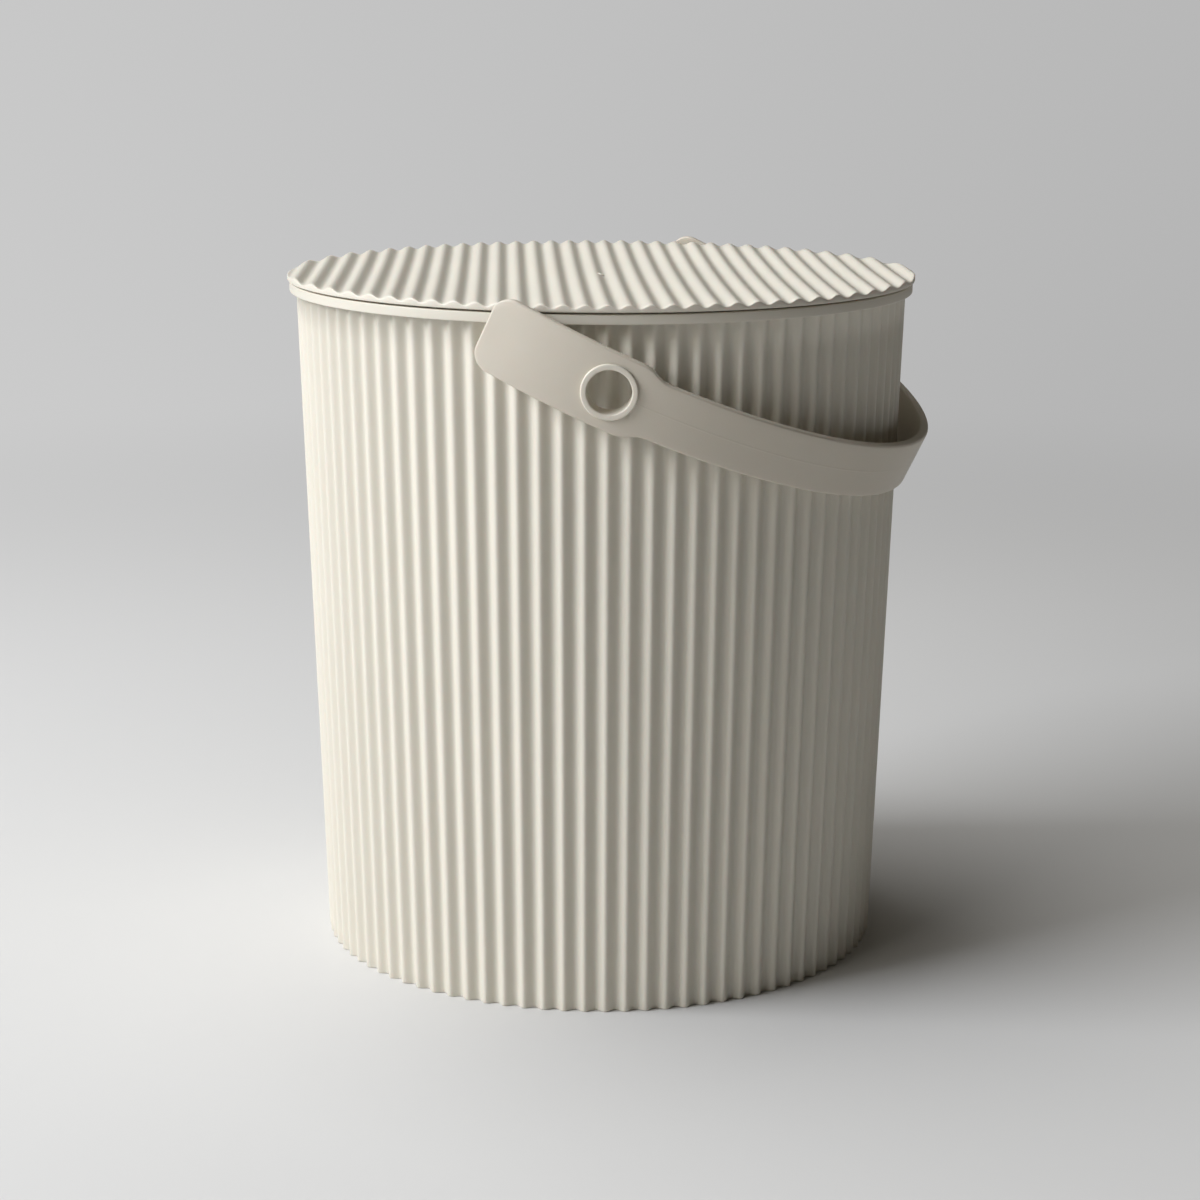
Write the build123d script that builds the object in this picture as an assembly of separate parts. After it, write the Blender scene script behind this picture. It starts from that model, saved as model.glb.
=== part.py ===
from build123d import *
from math import cos, pi, radians, sin, sqrt
import os

# A ribbed, tapered bucket with a round lid and a flat strap handle. Millimetres, +Z up.
# The origin is on the bucket's axis at floor level. The handle's pins lie along Y and its
# loop reaches towards +X, where it rests against the wall.

# Bucket wall, a wave of upright ribs
crest_radius_bottom = 139.3
crest_radius_top = 149.7
wall_top = 328.1
rib_count = 90
rib_depth = 2.8
rib_start_angle = 1.2
wall_thickness = 2.2
outer_flat_count = 8
inner_flat_count = 4
foot_height = 3.0
floor_thickness = 2.5

# Rim: a flat flange with a lip turned down round its edge
rim_radius = 152.9
rim_height = 4.6
rim_thickness = 2.2
rim_lip = 1.6
rim_edge_break = 0.5
mouth_step = 0.4

# Lid
lid_radius = 154.0
lid_reveal = 0.9
lid_edge_height = 3.6
lid_wave_depth = 1.75
lid_wave_pitch = 9.64
lid_wave_shift = -2.7
lid_wave_angle = 18.0
lid_thickness = 2.1
lid_flat_count = 6
lid_under_flat_count = 4
lid_seat_gap = 0.3
lid_seat_radius = 150.5
plug_gap = 0.7
plug_depth = 9.0
plug_thickness = 2.4
plug_lead_in = 0.9

# Handle: a flat strap bent to a circular arc, with a wider tab at each end
pivot_drop = 9.6
strap_clearance = 2.8
strap_thickness = 4.5
strap_width = 26.8
strap_edge_break = 0.8
tab_width = 34.8
tab_corner_radius = 9.0
tab_overhang = 8.6
tab_length = 73.5
shoulder_length = 7.0
shoulder_radius = 6.0
loop_shift = 12.4
rest_gap = 0.3

# Pivots: a pin on each tab turns in a blind socket in an ear on the wall
pin_radius = 4.93
pin_running_gap = 0.06
pin_tip_gap = 0.5
ear_radius = 8.0
ear_gap = 1.4
ear_back_skin = 2.2
hub_radius = 6.6
hub_gap = 0.4

# Eyelets: a flanged collar through the strap near each end
eyelet_angle = 75.2
eyelet_hole_radius = 10.1
collar_thickness = 1.1
collar_gap = 0.1
flange_radius = 12.8
flange_thickness = 1.7
flange_edge_break = 0.5
spot_face_margin = 0.3
collar_reach = 4.4
snap_bead = 0.45
snap_bead_length = 1.4

# How far a cutting shape runs on past what it cuts
cut_margin = 5.0

# Worked out from the sizes above
rim_top = wall_top + rim_thickness
rim_bottom = rim_top - rim_height
mouth_radius = crest_radius_top - rib_depth - wall_thickness - mouth_step
floor_top = foot_height + floor_thickness
pivot_height = rim_top - pivot_drop
strap_inner = lid_radius + strap_clearance
strap_outer = strap_inner + strap_thickness
tab_inner_at_pin = sqrt(strap_inner**2 - loop_shift**2)
ear_face = tab_inner_at_pin - ear_gap
socket_floor = mouth_radius + ear_back_skin


def polar(radius, angle, z):
    return (radius * cos(radians(angle)), radius * sin(radians(angle)), z)


def wave(phase, depth):
    """How far a rounded wave lies below its crests, phase being the share of one pitch."""
    return depth * (1 - cos(2 * pi * phase)) / 2


def wave_ring(crest, inward, flats, z):
    """Closed ribbed outline at height z, inward millimetres inside the outer skin's wave."""
    points = []
    for i in range(rib_count * flats):
        angle = -90 + rib_start_angle + i * 360 / (rib_count * flats)
        points.append(polar(crest - wave(i / flats, rib_depth) - inward, angle, z))
    return Wire.make_polygon(points, close=True)


def wall_crest(z):
    """Radius over the ribs' crests at height z."""
    return crest_radius_bottom + (crest_radius_top - crest_radius_bottom) * z / wall_top


def ribbed_cone(inward, flats, z_low, z_high):
    low = wave_ring(wall_crest(z_low), inward, flats, z_low)
    high = wave_ring(wall_crest(z_high), inward, flats, z_high)
    return Solid.make_loft([low, high], ruled=True)


def make_rim():
    """Flange over the wall's top edge, with the lip down its outside."""
    outer = [
        (mouth_radius, rim_top - rim_thickness),
        (rim_radius - rim_lip, rim_top - rim_thickness),
        (rim_radius - rim_lip, rim_bottom),
        (rim_radius, rim_bottom),
        (rim_radius, rim_top),
        (mouth_radius, rim_top),
    ]
    section = make_face(Polyline(*[(r, 0, z) for r, z in outer], close=True))
    outside = section.vertices().group_by(Axis.X)[-1]
    section = chamfer(outside, rim_edge_break)
    return revolve(section, Axis.Z)


def make_ear(side):
    """Round boss with a blind socket, on the wall under the rim."""
    def rod(radius, y_from, y_to):
        along = Plane((0, side * y_from, pivot_height), z_dir=(0, side, 0))
        return extrude(along * Circle(radius), y_to - y_from)

    ear = rod(ear_radius, mouth_radius, ear_face)
    socket = rod(pin_radius + pin_running_gap, socket_floor, ear_face)
    return ear, socket


def make_bucket():
    wall = ribbed_cone(0, outer_flat_count, 0, wall_top)
    cavity = ribbed_cone(wall_thickness, inner_flat_count, floor_top, wall_top)
    foot_radius = crest_radius_bottom - rib_depth - wall_thickness
    recess = disc(foot_radius, 0, foot_height)
    bucket = wall - cavity - recess + make_rim()
    for side in (-1, 1):
        ear, socket = make_ear(side)
        bucket = bucket + ear - socket
    return bucket


def below_wave(z_crest, flats, z_low):
    """Block under the lid's ribbed skin, with the ribs running straight across it."""
    steps = (int(lid_radius / lid_wave_pitch) + 1) * flats
    top = []
    for i in range(-steps, steps + 1):
        s = lid_wave_shift + i * lid_wave_pitch / flats
        top.append((s, 0, z_crest - wave(i / flats, lid_wave_depth)))
    base = [(top[-1][0], 0, z_low), (top[0][0], 0, z_low)]
    section = make_face(Polyline(*top, *base, close=True))
    block = extrude(section, lid_radius + lid_wave_pitch, dir=(0, 1, 0), both=True)
    return Rot(0, 0, lid_wave_angle) * block


def disc(radius, z_low, z_high):
    return Pos(0, 0, z_low) * extrude(Circle(radius), z_high - z_low)


lid_bottom = rim_top + lid_reveal
lid_seat = rim_top + lid_seat_gap
lid_crest = lid_bottom + lid_edge_height
plug_radius = mouth_radius - plug_gap


def make_lid():
    skin = below_wave(lid_crest, lid_flat_count, lid_seat - plug_depth)
    hollow = below_wave(lid_crest - lid_thickness, lid_under_flat_count, lid_seat - plug_depth)
    top_limit = lid_crest + lid_edge_height
    plate = disc(lid_radius, lid_bottom, top_limit) + disc(lid_seat_radius, lid_seat, top_limit)
    plate = plate & skin
    under = disc(plug_radius - plug_thickness, lid_seat - plug_depth, top_limit) & hollow
    plug = disc(plug_radius, lid_seat - plug_depth, lid_seat + lid_wave_depth / 4)
    plug = chamfer(plug.edges().group_by(Axis.Z)[0], plug_lead_in)
    bore_low = lid_seat - plug_depth - cut_margin
    plug -= disc(plug_radius - plug_thickness, bore_low, lid_seat + lid_wave_depth)
    return plate - under + plug


def rest_tilt():
    """How far the loop hangs below level where its lower inner edge meets the wall."""
    reach, half = strap_inner + loop_shift, strap_width / 2
    low, high = 0.0, 60.0
    for _ in range(40):
        tilt = radians((low + high) / 2)
        edge_radius = reach * cos(tilt) - half * sin(tilt)
        edge_height = pivot_height - reach * sin(tilt) - half * cos(tilt)
        if edge_radius > wall_crest(edge_height) + rest_gap:
            low = (low + high) / 2
        else:
            high = (low + high) / 2
    return low


def side_outline():
    """The handle seen along its pins: wide tab, shoulder, then the narrower strap."""
    tab, strap = tab_width / 2, strap_width / 2
    shoulder = tab_length - tab_overhang
    far = strap_outer + loop_shift + cut_margin
    half = [(-tab_overhang, tab), (shoulder, tab), (shoulder + shoulder_length, strap), (far, strap)]
    points = half + [(x, -z) for x, z in reversed(half)]
    face = make_face(Polyline(*[(x, 0, z) for x, z in points], close=True))
    ends = face.vertices().group_by(Axis.X)
    face = fillet(ends[0], tab_corner_radius)
    turns = face.vertices().filter_by(lambda v: shoulder - 0.1 < v.X < shoulder + shoulder_length + 0.1)
    return fillet(turns, shoulder_radius)


def eyelet_place(side):
    """Frame with its X axis along an eyelet, out of the strap."""
    return Pos(loop_shift, 0, 0) * Rot(0, 0, side * eyelet_angle)


def rod_x(radius, x_from, x_to):
    return extrude(Plane((x_from, 0, 0), z_dir=(1, 0, 0)) * Circle(radius), x_to - x_from)


spot_radius = flange_radius + spot_face_margin
spot_floor = sqrt(strap_outer**2 - spot_radius**2)


def make_handle():
    half_width = tab_width
    ring = Pos(loop_shift, 0, -half_width) * extrude(Circle(strap_outer), 2 * half_width)
    ring -= Pos(loop_shift, 0, -half_width) * extrude(Circle(strap_inner), 2 * half_width)
    handle = ring & extrude(side_outline(), strap_outer + cut_margin, both=True)
    skins = handle.faces().filter_by(GeomType.CYLINDER)
    broad = [f for f in skins if f.area > strap_width * strap_inner / 2]
    rims = [e for f in broad for e in f.edges()]
    handle = chamfer(rims, strap_edge_break)
    for side in (-1, 1):
        hole_radius = eyelet_hole_radius + collar_thickness + collar_gap
        hole = rod_x(hole_radius, strap_inner - 2 * cut_margin, strap_outer + cut_margin)
        spot = rod_x(spot_radius, spot_floor, strap_outer + cut_margin)
        handle -= eyelet_place(side) * (hole + spot)
        along = Plane((0, side * (socket_floor + pin_tip_gap), 0), z_dir=(0, side, 0))
        inside_tab = tab_inner_at_pin + strap_thickness / 2
        handle += extrude(along * Circle(pin_radius), inside_tab - socket_floor - pin_tip_gap)
        hub = Plane((0, side * (ear_face + hub_gap), 0), z_dir=(0, side, 0))
        handle += extrude(hub * Circle(hub_radius), inside_tab - ear_face - hub_gap)
    return handle


def make_eyelet():
    """Flanged collar about the X axis: flange on the spot face, snap bead behind the strap."""
    collar = eyelet_hole_radius + collar_thickness
    back = strap_inner - collar_reach
    bead = sqrt(strap_inner**2 - collar**2) - collar_gap
    outline = [
        (back, eyelet_hole_radius),
        (spot_floor + flange_thickness, eyelet_hole_radius),
        (spot_floor + flange_thickness, flange_radius),
        (spot_floor, flange_radius),
        (spot_floor, collar),
        (bead, collar),
        (bead, collar + snap_bead),
        (bead - snap_bead_length, collar),
        (back, collar),
    ]
    section = make_face(Polyline(*[(x, 0, z) for x, z in outline], close=True))
    front = section.vertices().group_by(Axis.X)[-1]
    section = chamfer(front, flange_edge_break)
    return revolve(section, Axis.X)


def at_rest(loop_part):
    return Pos(0, 0, pivot_height) * Rot(0, rest_tilt(), 0) * loop_part


os.makedirs("parts", exist_ok=True)
nodes = {
    "bucket": make_bucket(),
    "lid": make_lid(),
    "handle": at_rest(make_handle()),
    "eyelet_front": at_rest(eyelet_place(-1) * make_eyelet()),
    "eyelet_back": at_rest(eyelet_place(1) * make_eyelet()),
}
for name, shape in nodes.items():
    export_step(shape, f"parts/{name}.step")
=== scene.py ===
from math import acos, atan, cos, degrees, exp, pi, radians, sin, sqrt

import bmesh
import bpy
from mathutils import Matrix, Vector


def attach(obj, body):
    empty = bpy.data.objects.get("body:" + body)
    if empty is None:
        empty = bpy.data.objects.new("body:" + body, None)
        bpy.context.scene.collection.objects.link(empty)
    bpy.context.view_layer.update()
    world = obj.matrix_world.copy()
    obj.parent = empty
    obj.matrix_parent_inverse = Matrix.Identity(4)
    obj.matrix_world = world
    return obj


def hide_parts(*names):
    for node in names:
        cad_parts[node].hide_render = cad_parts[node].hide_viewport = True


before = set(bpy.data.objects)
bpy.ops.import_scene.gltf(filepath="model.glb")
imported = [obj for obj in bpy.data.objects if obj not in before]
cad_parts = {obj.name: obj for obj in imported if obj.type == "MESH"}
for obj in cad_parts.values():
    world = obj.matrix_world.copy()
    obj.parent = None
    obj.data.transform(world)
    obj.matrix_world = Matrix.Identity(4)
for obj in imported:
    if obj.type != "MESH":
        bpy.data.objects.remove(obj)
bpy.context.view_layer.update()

MM = 0.001

# Sizes of the object in millimetres, the same as the solids have. Bucket
CREST_BOTTOM, CREST_TOP, WALL_TOP = 139.3, 149.7, 328.1
RIBS, RIB_DEPTH, RIB_START, WALL = 90, 2.8, 1.2, 2.2
FOOT, FLOOR_TOP = 3.0, 5.5
RIM, RIM_TOP, RIM_BOTTOM, RIM_LIP = 152.9, 330.3, 325.7, 1.6
MOUTH_STEP = 0.4
MOUTH = CREST_TOP - RIB_DEPTH - WALL - MOUTH_STEP

# Lid. The dish is in this mesh only: the solid's ribs are level
LID, LID_BOTTOM, LID_CREST = 154.0, 331.2, 334.8
LID_WAVE, LID_PITCH, LID_SHIFT, LID_ANGLE = 1.75, 9.64, -2.7, 18.0
LID_SKIN, LID_DISH = 2.1, 2.0
SEAT, SEAT_RADIUS = 330.6, 150.5
PLUG_GAP, PLUG_THICK, PLUG_DEPTH, PLUG_LEAD = 0.7, 2.4, 9.0, 0.9
PLUG = MOUTH - PLUG_GAP

# Handle
PIVOT_DROP, REST_GAP = 9.6, 0.3
PIVOT = RIM_TOP - PIVOT_DROP
STRAP_IN, STRAP_THICK, STRAP_WIDTH = 156.8, 4.5, 26.8
TAB_WIDTH, TAB_CORNER, TAB_BACK, TAB_END, SHOULDER = 34.8, 9.0, 8.6, 64.9, 7.0
LOOP_SHIFT = 12.4
STRAP_OUT = STRAP_IN + STRAP_THICK

# Pivots
EAR_RADIUS, EAR_GAP, EAR_SKIN, SOCKET = 8.0, 1.4, 2.2, 4.99
PIN, PIN_TIP_GAP, HUB, HUB_GAP = 4.93, 0.5, 6.6, 0.4
TAB_INSIDE = sqrt(STRAP_IN**2 - LOOP_SHIFT**2)
EAR_FACE = TAB_INSIDE - EAR_GAP
SOCKET_FLOOR = MOUTH + EAR_SKIN

# Eyelets
EYELET_ANGLE, HOLE, COLLAR, COLLAR_GAP, COLLAR_REACH = 75.2, 10.1, 11.2, 0.1, 4.4
FLANGE, FLANGE_THICK, SPOT_MARGIN = 12.8, 1.7, 0.3
BEAD, BEAD_LENGTH = 0.45, 1.4
SPOT_FLOOR = sqrt(STRAP_OUT**2 - (FLANGE + SPOT_MARGIN) ** 2)

# Rounding of the moulded edges, and the radius at which a lathe outline stops short of its axis
EDGE, LID_EDGE, STRAP_EDGE = 0.55, 0.7, 1.1
AXIS = 0.01

# Colours, linear, and the look of the paper that the object stands on
CREAM, GREIGE, LIGHT_GREIGE = (0.72, 0.68, 0.585), (0.65, 0.595, 0.50), (0.76, 0.71, 0.61)
FLOOR_COLOUR, FLOOR_RADIUS = (0.65, 0.645, 0.63), 200
# The camera's far backdrop glows with painted shade: lighter on the left, darker on the right, away
# from the key light
BACKDROP_LEFT_PAINTED_LIT, BACKDROP_RIGHT_PAINTED_SHADE, BACKDROP_FAR, BACKDROP_TURN = 0.60, 0.455, 0.52, 0.45
FADE_START, FADE_END = 0.55, 1.8
FILL_COLOUR, FILL_STRENGTH = (1.0, 0.92, 0.78), 0.03

# Camera in metres and degrees, and the lamps: place as right of the camera's line, away from the
# camera and up, then width, height, watts and colour. They all face the middle of the bucket
CAMERA_AZIMUTH, CAMERA_DISTANCE, CAMERA_HEIGHT = 15.93, 1.3285, 0.4711
CAMERA_PITCH, CAMERA_ROLL, CAMERA_LENS, CAMERA_REACH = 12.886, 0.183, 80.62, 400.0
LAMP_AIM = 0.2
LAMPS = {
    "key": ((-2.65, -0.85, 1.95), 2.0, 1.1, 109.0, (1.0, 1.025, 1.08)),
    "front": ((-1.9, -2.1, 1.5), 0.9, 0.9, 12.0, (1.0, 0.97, 0.92)),
    "edge": ((2.1, 1.9, 0.9), 0.8, 0.8, 3.5, (1.0, 0.93, 0.82)),
    "top": ((-0.6, 0.4, 2.4), 1.6, 1.6, 28.0, (1.0, 1.0, 1.0)),
}


def wall_crest(z):
    """Radius over the wall's crests at height z."""
    return CREST_BOTTOM + (CREST_TOP - CREST_BOTTOM) * z / WALL_TOP


def rest_tilt():
    """How far the loop hangs below level where its lower inner edge meets the wall."""
    reach, half = STRAP_IN + LOOP_SHIFT, STRAP_WIDTH / 2
    low, high = 0.0, 60.0
    for _ in range(40):
        middle = (low + high) / 2
        tilt = radians(middle)
        height = PIVOT - reach * sin(tilt) - half * cos(tilt)
        clear = reach * cos(tilt) - half * sin(tilt) > wall_crest(height) + REST_GAP
        low, high = (middle, high) if clear else (low, middle)
    return low


# The handle's own frame: X along the loop's reach, Y along the pins
LOOP = Matrix.Translation((0, 0, PIVOT * MM)) @ Matrix.Rotation(radians(rest_tilt()), 4, "Y")


def face_outwards(mesh):
    """Turns every face's normal out of the closed shape it belongs to."""
    shape = bmesh.new()
    shape.from_mesh(mesh)
    bmesh.ops.recalc_face_normals(shape, faces=shape.faces)
    shape.to_mesh(mesh)
    shape.free()


def make_mesh(name, points, faces, body, nodes=(), slot=None, place=Matrix.Identity(4)):
    """A smooth-shaded piece from points in millimetres, riding on a body."""
    mesh = bpy.data.meshes.new(name)
    mesh.from_pydata([tuple(c * MM for c in p) for p in points], [], faces)
    mesh.validate()
    face_outwards(mesh)
    obj = bpy.data.objects.new(name, mesh)
    bpy.context.scene.collection.objects.link(obj)
    mesh.polygons.foreach_set("use_smooth", [True] * len(mesh.polygons))
    obj.matrix_world = place
    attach(obj, body)
    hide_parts(*nodes)
    return obj


def grid_faces(rows, columns, closed_rows=False, closed_columns=True, start=0):
    """Quads between a grid's rows, wrapping round where a direction is closed."""
    faces = []
    for i in range(rows if closed_rows else rows - 1):
        for j in range(columns if closed_columns else columns - 1):
            a, b = start + i * columns, start + (i + 1) % rows * columns
            k = (j + 1) % columns
            faces.append((a + j, a + k, b + k, b + j))
    return faces


def rounded(points, radius, steps=4):
    """A closed outline with rounded corners. A point's third value is its own radius."""
    longest_share, smallest = 0.45, 1e-6
    out = []
    for i, p in enumerate(points):
        r = p[2] if len(p) > 2 else radius
        a, b = Vector(points[i - 1][:2]), Vector(p[:2])
        c = Vector(points[(i + 1) % len(points)][:2])
        u, v = a - b, c - b
        r = min(r, u.length * longest_share, v.length * longest_share)
        if r < smallest:
            out.append(tuple(b))
            continue
        u, v = b + u.normalized() * r, b + v.normalized() * r
        for k in range(steps + 1):
            t = k / steps
            q = u * (1 - t) ** 2 + b * 2 * t * (1 - t) + v * t**2
            out.append(tuple(q))
    return out


def wave(phase, depth):
    """How far a rounded wave lies below its crests, phase being the share of one pitch."""
    return depth * (1 - cos(2 * pi * phase)) / 2


def lathe(outline, segments):
    """Points and faces of a closed outline of (radius, height) turned about Z."""
    points = []
    for r, z in outline:
        for j in range(segments):
            a = 2 * pi * j / segments
            points.append((r * cos(a), r * sin(a), z))
    return points, grid_faces(len(outline), segments, closed_rows=True)


def joined(*parts):
    """One set of points and faces from several."""
    points, faces = [], []
    for part_points, part_faces in parts:
        start = len(points)
        points += part_points
        faces += [tuple(i + start for i in f) for f in part_faces]
    return points, faces


def moved(part, matrix):
    """A part's points under a matrix, with the same faces."""
    return [tuple(matrix @ Vector(p)) for p in part[0]], part[1]


def lip_edge(steps, radius):
    """Height and inset of points round a quarter circle, from the face to the side."""
    turns = [pi / 2 * k / steps for k in range(steps + 1)]
    return [(radius * (1 - cos(t)), radius * (1 - sin(t))) for t in turns]


def bucket_wall():
    """Ribbed wall with floor and rim in one skin, from the foot's recess up the outside and down
    the inside. A row is its radius, its height and the share of the rib wave taken off it."""
    per_rib = 16
    columns = RIBS * per_rib
    floor_ring, foot_break, lip_break = 60, 0.6, 0.4
    foot_in = CREST_BOTTOM - RIB_DEPTH - WALL
    lip_in = RIM - RIM_LIP
    rows = [
        (AXIS, FOOT, 0),
        (floor_ring, FOOT, 0),
        (foot_in - foot_break, FOOT, 0),
        (foot_in, FOOT - foot_break, 0),
        (foot_in, 0.3, 0),
        (foot_in + 0.25, 0.0, 0),
        (wall_crest(0) - 0.5, 0.0, 1),
        (wall_crest(0) - 0.15, 0.15, 1),
        (wall_crest(0), foot_break, 1),
    ]
    rows += [(wall_crest(z), z, 1) for z in (6, 40, 80, 120, 160, 200, 240, 280, 310, WALL_TOP)]
    rows += [
        (lip_in - lip_break, WALL_TOP, 0),
        (lip_in, WALL_TOP - lip_break, 0),
        (lip_in, RIM_BOTTOM + lip_break, 0),
        (lip_in + lip_break, RIM_BOTTOM, 0),
    ]
    rows += [(RIM - inset, RIM_BOTTOM + up, 0) for up, inset in lip_edge(4, EDGE)]
    rows += [(RIM - inset, RIM_TOP - down, 0) for down, inset in reversed(lip_edge(4, EDGE))]
    rows += [(MOUTH + inset, RIM_TOP - down, 0) for down, inset in lip_edge(3, EDGE)]
    rows += [(MOUTH, RIM_TOP - 3, 0), (MOUTH + 0.1, WALL_TOP - 3.0, 0)]
    rows += [(wall_crest(z) - WALL, z, 1) for z in (WALL_TOP - 4, 300, 240, 160, 80, FLOOR_TOP + 3)]
    rows += [
        (wall_crest(FLOOR_TOP) - WALL - 1, FLOOR_TOP + 0.8, 1),
        (foot_in - 3, FLOOR_TOP, 0),
        (floor_ring, FLOOR_TOP, 0),
        (AXIS, FLOOR_TOP, 0),
    ]
    points = []
    for r, z, share in rows:
        for j in range(columns):
            a = radians(-90 + RIB_START) + 2 * pi * j / columns
            q = r - share * wave(j / per_rib, RIB_DEPTH)
            points.append((q * cos(a), q * sin(a), z))
    faces = grid_faces(len(rows), columns)
    faces.append(tuple(reversed(range(columns))))
    faces.append(tuple((len(rows) - 1) * columns + j for j in range(columns)))
    return points, faces


def ear(side):
    """Boss with its blind socket, turned about the pin's line."""
    root = MOUTH - 0.1
    outline = [
        (AXIS, SOCKET_FLOOR, 0),
        (SOCKET, SOCKET_FLOOR),
        (SOCKET, EAR_FACE),
        (EAR_RADIUS, EAR_FACE),
        (EAR_RADIUS, root),
        (AXIS, root, 0),
    ]
    turn = Matrix.Translation((0, 0, PIVOT)) @ Matrix.Rotation(-side * pi / 2, 4, "X")
    return moved(lathe(rounded(outline, 0.5, 3), 64), turn)


def lid_height(s, y):
    """Height of the lid's upper skin, with its slight dish."""
    dish = LID_DISH * (1 - (s**2 + y**2) / LID**2)
    return LID_CREST - wave((s - LID_SHIFT) / LID_PITCH, LID_WAVE) - max(dish, 0)


def lid_column(s, height_at, radius, insets, along):
    """Points along one line of a round ribbed skin, closer together at its two ends."""
    half = sqrt(max(radius**2 - s**2, 0.0))
    insets = [min(d, half * 0.2) for d in insets]
    inner = half - insets[-1]
    ys = [-half + d for d in insets]
    ys += [-inner + 2 * inner * k / along for k in range(1, along)]
    ys += [half - d for d in reversed(insets)]
    return [(s, y, height_at(s, y)) for y in ys]


def lid_top(s, y):
    """Height of the upper skin, rounded over at the lid's edge."""
    d = max(0.0, min(LID - sqrt(s * s + y * y), LID_EDGE))
    return lid_height(s, y) - LID_EDGE + sqrt(LID_EDGE**2 - (LID_EDGE - d) ** 2)


def lid_underside(s, y):
    return lid_height(s, y) - LID_SKIN


def lid_shell():
    """Ribbed disc: columns of points run along the ribs and end on the lid's edge."""
    per_rib, along = 14, 26
    insets = (0.0, 0.08, 0.22, 0.42, LID_EDGE)
    outermost, second = 0.02, 0.3
    step = LID_PITCH / per_rib
    count = int(2 * LID / LID_PITCH * per_rib)
    stations = [-LID + outermost, -LID + second]
    stations += [-LID + second + (k + 1) * step for k in range(count - 3)]
    stations = [s for s in stations if s < LID - second] + [LID - second, LID - outermost]
    points = []
    for s in stations:
        points += lid_column(s, lid_top, LID, insets, along)
    rows = len(stations)
    width = len(points) // rows
    faces = [tuple(reversed(f)) for f in grid_faces(rows, width, closed_columns=False)]

    # The grid's outline, walked once round, carries the upright edge, the seat and the plug ring
    ring = [i * width for i in range(rows)]
    ring += [(rows - 1) * width + j for j in range(1, width)]
    ring += [i * width + width - 1 for i in range(rows - 2, -1, -1)]
    ring += [j for j in range(width - 2, 0, -1)]
    n = len(ring)
    plug_in, plug_low, plug_break = PLUG - PLUG_THICK, SEAT - PLUG_DEPTH, 0.3
    levels = [
        (LID, LID_BOTTOM + EDGE),
        (LID - 0.15, LID_BOTTOM + 0.15),
        (LID - EDGE, LID_BOTTOM),
        (SEAT_RADIUS, LID_BOTTOM),
        (SEAT_RADIUS - 0.2, SEAT),
        (PLUG, SEAT),
        (PLUG, plug_low + PLUG_LEAD),
        (PLUG - PLUG_LEAD, plug_low),
        (plug_in + plug_break, plug_low),
        (plug_in, plug_low + plug_break),
        (plug_in, SEAT - plug_break),
    ]
    start = len(points)
    for r, z in levels:
        for i in ring:
            x, y, _ = points[i]
            d = sqrt(x * x + y * y)
            points.append((x / d * r, y / d * r, z))
    faces += [(ring[j], ring[(j + 1) % n], start + (j + 1) % n, start + j) for j in range(n)]
    faces += grid_faces(len(levels), n, start=start)

    # Ribbed underside inside the plug ring
    low = len(points)
    for s in stations:
        points += lid_column(s * (plug_in / LID), lid_underside, plug_in, insets, along)
    faces += grid_faces(rows, width, closed_columns=False, start=low)
    last = start + (len(levels) - 1) * n
    for j in range(n):
        k = (j + 1) % n
        faces.append((last + j, last + k, low + ring[k], low + ring[j]))
    return moved((points, faces), Matrix.Rotation(radians(LID_ANGLE), 4, "Z"))


def gate_mark():
    """Small torn nub where the lid's plastic went in, on the flank next to the centre."""
    slope = atan(LID_WAVE * pi / LID_PITCH * sin(-2 * pi * LID_SHIFT / LID_PITCH))
    outline = [(AXIS, -1.2, 0), (1.4, -1.2, 0), (1.6, 0.15), (0.9, 0.75), (0.6, 0.1), (AXIS, 0.1, 0)]
    round_points, faces = lathe(rounded(outline, 0.12, 3), 28)
    points = []
    for x, y, z in round_points:
        points.append((x * (1.25 if y > 0 else 0.8), y * 1.1, z * (1.0 if x > 0 else 0.7)))
    turn = Matrix.Rotation(radians(LID_ANGLE), 4, "Z") @ Matrix.Translation((0, 0, lid_height(0, 0)))
    return moved((points, faces), turn @ Matrix.Rotation(slope, 4, "Y"))


def strap_half_width(x):
    """Half the strap's width at x along its reach: tab with round corners, shoulder, strap."""
    tab, strap = TAB_WIDTH / 2, STRAP_WIDTH / 2
    d = x + TAB_BACK
    if d < TAB_CORNER:
        return tab - TAB_CORNER + sqrt(max(TAB_CORNER**2 - (TAB_CORNER - max(d, 0)) ** 2, 0))
    ease = 2.0
    t = min(max((x - TAB_END + ease) / (SHOULDER + 2 * ease), 0), 1)
    return tab + (strap - tab) * t * t * (3 - 2 * t)


def strap_section(half_t, half_w):
    """Rounded rectangle across the strap, as offsets outward and along its width."""
    corner_steps, across = 5, 9
    r = min(STRAP_EDGE, half_t * 0.9)
    section = []
    for cx, cz, turn in ((1, 1, 0), (-1, 1, 90), (-1, -1, 180), (1, -1, 270)):
        for k in range(corner_steps + 1):
            a = radians(turn + 90 * k / corner_steps)
            section.append((cx * (half_t - r) + r * cos(a), cz * (half_w - r) + r * sin(a)))
        if turn in (90, 270):
            z0 = (half_w - r) * (1 if turn == 90 else -1)
            side = -half_t if turn == 90 else half_t
            section += [(side, z0 * (1 - 2 * k / across)) for k in range(1, across)]
    return section


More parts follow.
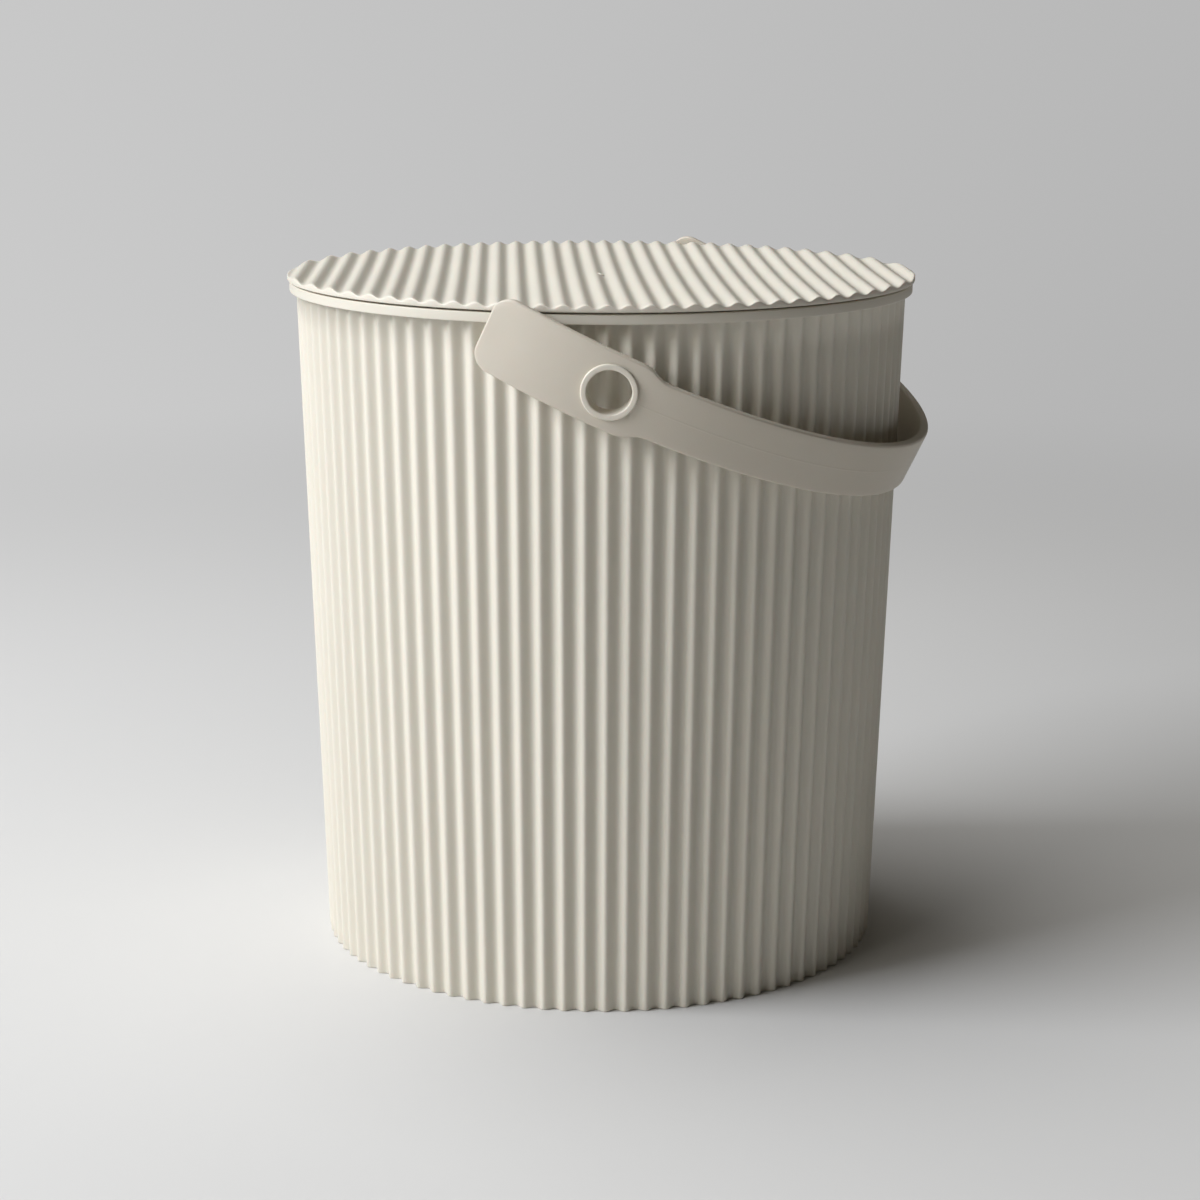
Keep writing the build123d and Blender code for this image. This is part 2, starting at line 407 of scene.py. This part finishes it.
def strap():
    """Band swept round the loop: rounded sections that follow the side outline, with a shallow
    sink in the tab's outside over each pin."""
    sink_depth, sink_radius, along = 0.28, 6.5, 150
    middle = (STRAP_IN + STRAP_OUT) / 2
    end = degrees(acos(-(TAB_BACK + LOOP_SHIFT) / middle))
    per_mm = degrees(1 / middle)
    end_rounding = [STRAP_EDGE * (1 - cos(pi / 2 * k / 5)) for k in range(1, 6)]
    near_end = [0.1, *end_rounding, 1.6, 2.4, 3.4, 4.6, 6.0, 7.5, 9.0]
    angles = [end - d * per_mm for d in near_end]
    inner = angles[-1]
    angles += [inner - 2 * inner * k / along for k in range(1, along)]
    angles += [-a for a in reversed(angles[:len(near_end)])]
    points = []
    for angle in angles:
        distance = (end - abs(angle)) / per_mm
        left = STRAP_EDGE - min(distance, STRAP_EDGE)
        back = STRAP_EDGE - sqrt(max(STRAP_EDGE**2 - left**2, 0))
        x_mid = LOOP_SHIFT + middle * cos(radians(angle))
        half_w = max(strap_half_width(x_mid) - back, 0.5)
        half_t = STRAP_THICK / 2 - back
        for outward, z in strap_section(half_t, half_w):
            pin_off = sqrt((x_mid * 0.9) ** 2 + z**2)
            on_outside = outward > half_t * 0.9
            sink = sink_depth * exp(-((pin_off / sink_radius) ** 2)) if on_outside else 0.0
            radius = middle + outward - sink
            points.append((LOOP_SHIFT + radius * cos(radians(angle)), radius * sin(radians(angle)), z))
    width = len(points) // len(angles)
    faces = grid_faces(len(angles), width)
    faces.append(tuple(range(width)))
    faces.append(tuple(reversed(range((len(angles) - 1) * width, len(angles) * width))))
    return points, faces


def pin(side):
    """Pin and hub on the inside of a tab, in the loop's frame."""
    tip, hub_face, inside = SOCKET_FLOOR + PIN_TIP_GAP, EAR_FACE + HUB_GAP, TAB_INSIDE + STRAP_THICK / 2
    outline = [
        (AXIS, tip, 0),
        (PIN, tip),
        (PIN, hub_face),
        (HUB, hub_face),
        (HUB, inside, 0),
        (AXIS, inside, 0),
    ]
    return moved(lathe(rounded(outline, 0.5, 3), 48), Matrix.Rotation(-side * pi / 2, 4, "X"))


def eyelet():
    """Flanged collar turned about Z, which then points out of the strap."""
    front, back = SPOT_FLOOR + FLANGE_THICK, STRAP_IN - COLLAR_REACH
    bead = sqrt(STRAP_IN**2 - COLLAR**2) - COLLAR_GAP
    outline = [
        (HOLE, back, 0.3),
        (HOLE, front, 0.7),
        (FLANGE, front, 0.75),
        (FLANGE, SPOT_FLOOR, 0.1),
        (COLLAR, SPOT_FLOOR, 0.0),
        (COLLAR, bead, 0.0),
        (COLLAR + BEAD, bead, 0.1),
        (COLLAR, bead - BEAD_LENGTH, 0.1),
        (COLLAR, back, 0.3),
    ]
    return lathe(rounded(outline, 0.3, 5), 96)


def eyelet_turn(side):
    """Where an eyelet's axis is in the loop's frame, in millimetres."""
    out = Matrix.Rotation(radians(side * EYELET_ANGLE), 4, "Z") @ Matrix.Rotation(pi / 2, 4, "Y")
    return Matrix.Translation((LOOP_SHIFT, 0, 0)) @ out


def cut(obj, part):
    """Takes a closed shape, in the same millimetre frame, out of a piece."""
    mesh = bpy.data.meshes.new("cutter")
    mesh.from_pydata([tuple(c * MM for c in p) for p in part[0]], [], part[1])
    face_outwards(mesh)
    tool = bpy.data.objects.new("cutter", mesh)
    bpy.context.scene.collection.objects.link(tool)
    tool.matrix_world = obj.matrix_world
    change = obj.modifiers.new("cut", "BOOLEAN")
    change.operation, change.solver, change.object = "DIFFERENCE", "EXACT", tool
    bpy.context.view_layer.update()
    shape = obj.evaluated_get(bpy.context.evaluated_depsgraph_get())
    result = bpy.data.meshes.new_from_object(shape)
    obj.modifiers.clear()
    obj.data = result
    bpy.data.objects.remove(tool)
    result.polygons.foreach_set("use_smooth", [True] * len(result.polygons))


def rod(radius, z_low, z_high, segments=72):
    """Closed cylinder about Z."""
    points, _ = lathe([(radius, z_low), (radius, z_high)], segments)
    faces = grid_faces(2, segments)
    faces.append(tuple(reversed(range(segments))))
    faces.append(tuple(range(segments, 2 * segments)))
    return points, faces


def plastic(name, colour, roughness, grain, mark=None):
    """Moulded plastic: slight drift of tone and gloss, fine grain and, where asked, a mark that
    adds to the grain's height."""
    darker, lighter, smoother, rougher = 0.975, 1.02, 0.04, 0.05
    material = bpy.data.materials.new(name)
    material.use_nodes = True
    nodes, links = material.node_tree.nodes, material.node_tree.links
    shader = nodes["Principled BSDF"]
    shader.inputs["IOR"].default_value = 1.49
    shader.inputs["Subsurface Weight"].default_value = 0.06
    shader.inputs["Subsurface Scale"].default_value = 0.004
    place = nodes.new("ShaderNodeTexCoord")
    drift = nodes.new("ShaderNodeTexNoise")
    drift.inputs["Scale"].default_value = 14.0
    drift.inputs["Detail"].default_value = 3.0
    links.new(place.outputs["Object"], drift.inputs["Vector"])
    tone = nodes.new("ShaderNodeMix")
    tone.data_type = "RGBA"
    tone.inputs["A"].default_value = (*[c * darker for c in colour], 1)
    tone.inputs["B"].default_value = (*[min(c * lighter, 1) for c in colour], 1)
    links.new(drift.outputs["Fac"], tone.inputs["Factor"])
    links.new(tone.outputs["Result"], shader.inputs["Base Color"])
    gloss = nodes.new("ShaderNodeMapRange")
    gloss.inputs["To Min"].default_value = roughness - smoother
    gloss.inputs["To Max"].default_value = roughness + rougher
    links.new(drift.outputs["Fac"], gloss.inputs["Value"])
    links.new(gloss.outputs["Result"], shader.inputs["Roughness"])
    fine = nodes.new("ShaderNodeTexNoise")
    fine.inputs["Scale"].default_value = 1500.0
    fine.inputs["Detail"].default_value = 2.0
    links.new(place.outputs["Object"], fine.inputs["Vector"])
    height = fine.outputs["Fac"]
    bump = nodes.new("ShaderNodeBump")
    bump.inputs["Strength"].default_value = grain
    bump.inputs["Distance"].default_value = 0.0002
    if mark:
        height = mark(nodes, links, place, height)
    links.new(height, bump.inputs["Height"])
    links.new(bump.outputs["Normal"], shader.inputs["Normal"])
    return material


def parting_line(nodes, links, place, height):
    """A hairline along the strap's middle, where the mould's halves met, that starts past the tab.
    In metres, in the loop's frame."""
    axes = nodes.new("ShaderNodeSeparateXYZ")
    links.new(place.outputs["Object"], axes.inputs["Vector"])
    side = nodes.new("ShaderNodeMath")
    side.operation = "ABSOLUTE"
    links.new(axes.outputs["Z"], side.inputs[0])
    line = nodes.new("ShaderNodeMapRange")
    line.interpolation_type = "SMOOTHSTEP"
    line.inputs["From Min"].default_value = 0.00012
    line.inputs["From Max"].default_value = 0.00055
    line.inputs["To Min"].default_value = 2.6
    line.inputs["To Max"].default_value = 0.0
    links.new(side.outputs["Value"], line.inputs["Value"])
    along = nodes.new("ShaderNodeMapRange")
    along.interpolation_type = "SMOOTHSTEP"
    along.inputs["From Min"].default_value = 0.050
    along.inputs["From Max"].default_value = 0.085
    links.new(axes.outputs["X"], along.inputs["Value"])
    total = nodes.new("ShaderNodeMath")
    total.operation = "MULTIPLY_ADD"
    links.new(line.outputs["Result"], total.inputs[0])
    links.new(along.outputs["Result"], total.inputs[1])
    links.new(height, total.inputs[2])
    return total.outputs["Value"]


def paint(obj, material):
    obj.data.materials.clear()
    obj.data.materials.append(material)


def build_object():
    """One smooth piece or more for each solid, on that solid's body."""
    cream = plastic("cream_plastic", CREAM, 0.42, 0.12)
    greige = plastic("greige_plastic", GREIGE, 0.45, 0.16, parting_line)
    light_greige = plastic("light_greige_plastic", LIGHT_GREIGE, 0.38, 0.08)
    shell = joined(bucket_wall(), ear(-1), ear(1))
    cover = joined(lid_shell(), gate_mark())
    bucket = make_mesh("bucket_shell", *shell, "bucket", ["bucket"], "shell_plastic")
    lid = make_mesh("lid_shell", *cover, "lid", ["lid"], "shell_plastic")
    handle = make_mesh("strap_handle", *strap(), "handle", ["handle"], "handle_plastic", LOOP)
    for side in (-1, 1):
        hole = rod(COLLAR + COLLAR_GAP, STRAP_IN - 10, STRAP_OUT + 6)
        cut(handle, moved(hole, eyelet_turn(side)))
    to_metres = Matrix.Diagonal((MM, MM, MM, 1))
    to_millimetres = Matrix.Diagonal((1 / MM,) * 3 + (1,))
    for side, end in ((-1, "front"), (1, "back")):
        pins = make_mesh(f"pin_{end}", *pin(side), "handle", [], "handle_plastic", LOOP)
        paint(pins, greige)
        place = LOOP @ to_metres @ eyelet_turn(side) @ to_millimetres
        node = f"eyelet_{end}"
        ring = make_mesh(f"eyelet_ring_{end}", *eyelet(), "handle", [node], "eyelet_plastic", place)
        paint(ring, light_greige)
    paint(bucket, cream)
    paint(lid, cream)
    paint(handle, greige)


def facing_camera(x, y):
    """A place given as right of the camera's line and away from the camera, in part axes."""
    a = radians(CAMERA_AZIMUTH)
    return x * cos(a) - y * sin(a), x * sin(a) + y * cos(a)


def fading_floor():
    """Pale paper that shows light and shadow near the object and turns, for the camera alone, into
    a plain backdrop far out, painted a little darker, as painted shade, on the key light's far side."""
    material = bpy.data.materials.new("floor_paper")
    material.use_nodes = True
    nodes, links = material.node_tree.nodes, material.node_tree.links
    shader = nodes["Principled BSDF"]
    shader.inputs["Base Color"].default_value = (*FLOOR_COLOUR, 1)
    shader.inputs["Roughness"].default_value = 0.95
    shader.inputs["Specular IOR Level"].default_value = 0.2
    place = nodes.new("ShaderNodeTexCoord")
    distance = nodes.new("ShaderNodeVectorMath")
    distance.operation = "LENGTH"
    links.new(place.outputs["Object"], distance.inputs[0])
    fade = nodes.new("ShaderNodeMapRange")
    fade.interpolation_type = "SMOOTHSTEP"
    fade.inputs["From Min"].default_value, fade.inputs["From Max"].default_value = FADE_START, FADE_END
    links.new(distance.outputs["Value"], fade.inputs["Value"])
    path = nodes.new("ShaderNodeLightPath")
    share = nodes.new("ShaderNodeMath")
    share.operation = "MULTIPLY"
    links.new(fade.outputs["Result"], share.inputs[0])
    links.new(path.outputs["Is Camera Ray"], share.inputs[1])
    heading = nodes.new("ShaderNodeVectorMath")
    heading.operation = "NORMALIZE"
    links.new(place.outputs["Object"], heading.inputs[0])
    rightward = nodes.new("ShaderNodeVectorMath")
    rightward.operation = "DOT_PRODUCT"
    links.new(heading.outputs["Vector"], rightward.inputs[0])
    rightward.inputs[1].default_value = (*facing_camera(1, 0), 0)
    # Painted shade: the backdrop's glow runs from lighter on the key light's side to darker on its far
    # side
    backdrop_painted_shade = nodes.new("ShaderNodeMapRange")
    backdrop_painted_shade.data_type = "FLOAT_VECTOR"
    backdrop_painted_shade.interpolation_type = "SMOOTHSTEP"
    value, from_min, from_max, to_min, to_max = [i for i in backdrop_painted_shade.inputs if i.type == "VECTOR"][:5]
    from_min.default_value = (-BACKDROP_TURN,) * 3
    from_max.default_value = (BACKDROP_TURN,) * 3
    to_min.default_value = (BACKDROP_LEFT_PAINTED_LIT,) * 3
    to_max.default_value = (BACKDROP_RIGHT_PAINTED_SHADE,) * 3
    links.new(rightward.outputs["Value"], value)
    paper = nodes.new("ShaderNodeEmission")
    links.new(backdrop_painted_shade.outputs["Vector"], paper.inputs["Color"])
    blend = nodes.new("ShaderNodeMixShader")
    links.new(share.outputs["Value"], blend.inputs["Fac"])
    links.new(shader.outputs["BSDF"], blend.inputs[1])
    links.new(paper.outputs["Emission"], blend.inputs[2])
    links.new(blend.outputs["Shader"], nodes["Material Output"].inputs["Surface"])
    return material


def surroundings():
    """Soft light from all round, with the plain backdrop behind for the camera alone."""
    world = bpy.data.worlds.new("studio")
    bpy.context.scene.world = world
    world.use_nodes = True
    nodes, links = world.node_tree.nodes, world.node_tree.links
    light = nodes["Background"]
    light.inputs["Color"].default_value = (*FILL_COLOUR, 1)
    light.inputs["Strength"].default_value = FILL_STRENGTH
    paper = nodes.new("ShaderNodeBackground")
    paper.inputs["Color"].default_value = (BACKDROP_FAR, BACKDROP_FAR, BACKDROP_FAR, 1)
    path = nodes.new("ShaderNodeLightPath")
    blend = nodes.new("ShaderNodeMixShader")
    links.new(path.outputs["Is Camera Ray"], blend.inputs["Fac"])
    links.new(light.outputs["Background"], blend.inputs[1])
    links.new(paper.outputs["Background"], blend.inputs[2])
    links.new(blend.outputs["Shader"], nodes["World Output"].inputs["Surface"])


def add_lamp(name, place, width, height, power, colour):
    light = bpy.data.lights.new(name, "AREA")
    light.shape = "RECTANGLE"
    light.size = width
    light.size_y = height
    light.energy = power
    light.color = colour
    lamp = bpy.data.objects.new(name, light)
    bpy.context.scene.collection.objects.link(lamp)
    lamp.location = (*facing_camera(place[0], place[1]), place[2])
    facing = Vector((0, 0, LAMP_AIM)) - lamp.location
    lamp.rotation_euler = facing.to_track_quat("-Z", "Y").to_euler()


def studio():
    """Plain pale floor under soft lamps, of which the key, on the left, is much the strongest."""
    bpy.ops.mesh.primitive_circle_add(vertices=96, radius=FLOOR_RADIUS, fill_type="NGON")
    floor = bpy.context.object
    floor.name = "floor"
    floor.data.materials.append(fading_floor())
    surroundings()
    for name, lamp in LAMPS.items():
        add_lamp(name, *lamp)


def camera():
    """The photograph's viewpoint, with no shift."""
    data = bpy.data.cameras.new("camera")
    data.lens = CAMERA_LENS
    data.sensor_width = 36.0
    data.clip_end = CAMERA_REACH
    cam = bpy.data.objects.new("camera", data)
    bpy.context.scene.collection.objects.link(cam)
    cam.location = (*facing_camera(0, -CAMERA_DISTANCE), CAMERA_HEIGHT)
    heading = Matrix.Rotation(radians(CAMERA_AZIMUTH), 3, "Z")
    pitch = Matrix.Rotation(radians(90 - CAMERA_PITCH), 3, "X")
    roll = Matrix.Rotation(radians(CAMERA_ROLL), 3, "Z")
    cam.rotation_euler = (heading @ pitch @ roll).to_euler()
    bpy.context.scene.camera = cam


build_object()
studio()
camera()
bpy.context.scene.view_settings.view_transform = "Standard"
